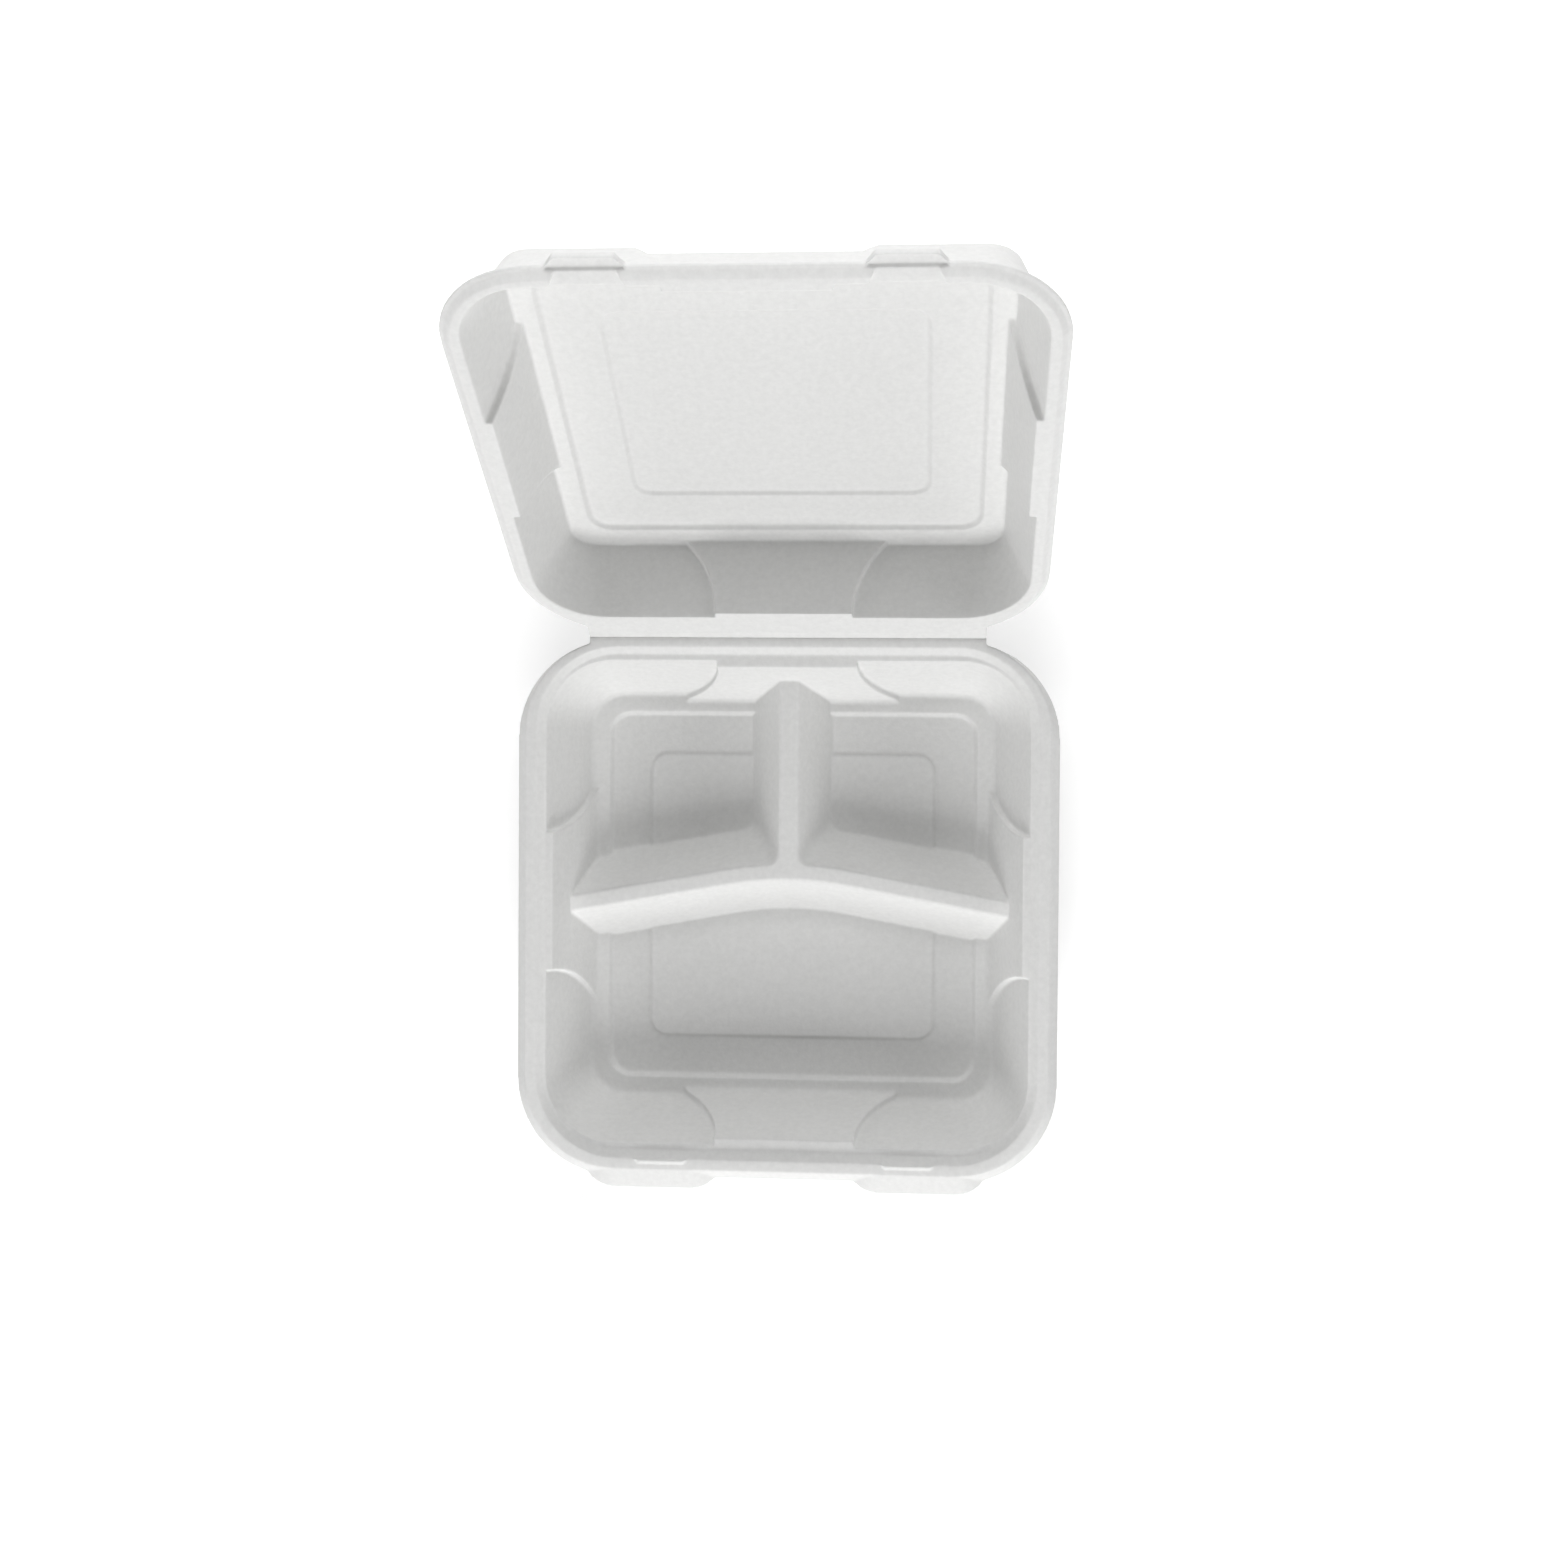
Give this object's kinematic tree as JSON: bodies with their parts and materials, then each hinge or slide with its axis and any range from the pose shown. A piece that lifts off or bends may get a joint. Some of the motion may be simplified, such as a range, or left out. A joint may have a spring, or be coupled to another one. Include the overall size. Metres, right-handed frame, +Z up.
{
  "type": "foam clamshell container",
  "caption": "Square white moulded food container with a divided base tray and a hinged domed lid with snap latches, standing open.",
  "frame": {"origin": "middle of the foot's front strip, the flat strip under the front of the base tray, on the face it stands on", "axes": "+X along the fold to the right as seen from the front, +Y back towards the fold, +Z up; the part is the same on both sides of the plane X = 0"},
  "size_m": [0.2286, 0.3617, 0.2341],
  "materials": {
    "base_tray": "matt white expanded polystyrene foam, moulded skin",
    "lid": "matt white expanded polystyrene foam, moulded skin"
  },
  "bodies": {
    "base": {"base_tray": "base_tray"},
    "lid": {"lid": "lid"}
  },
  "joints": [
    {"name": "lid_fold", "type": "hinge", "parent": "base", "child": "lid", "pos_m": [0, 0.1835, 0.04335], "axis": [1, 0, 0], "range_deg": [-59, 120.9]}
  ]
}
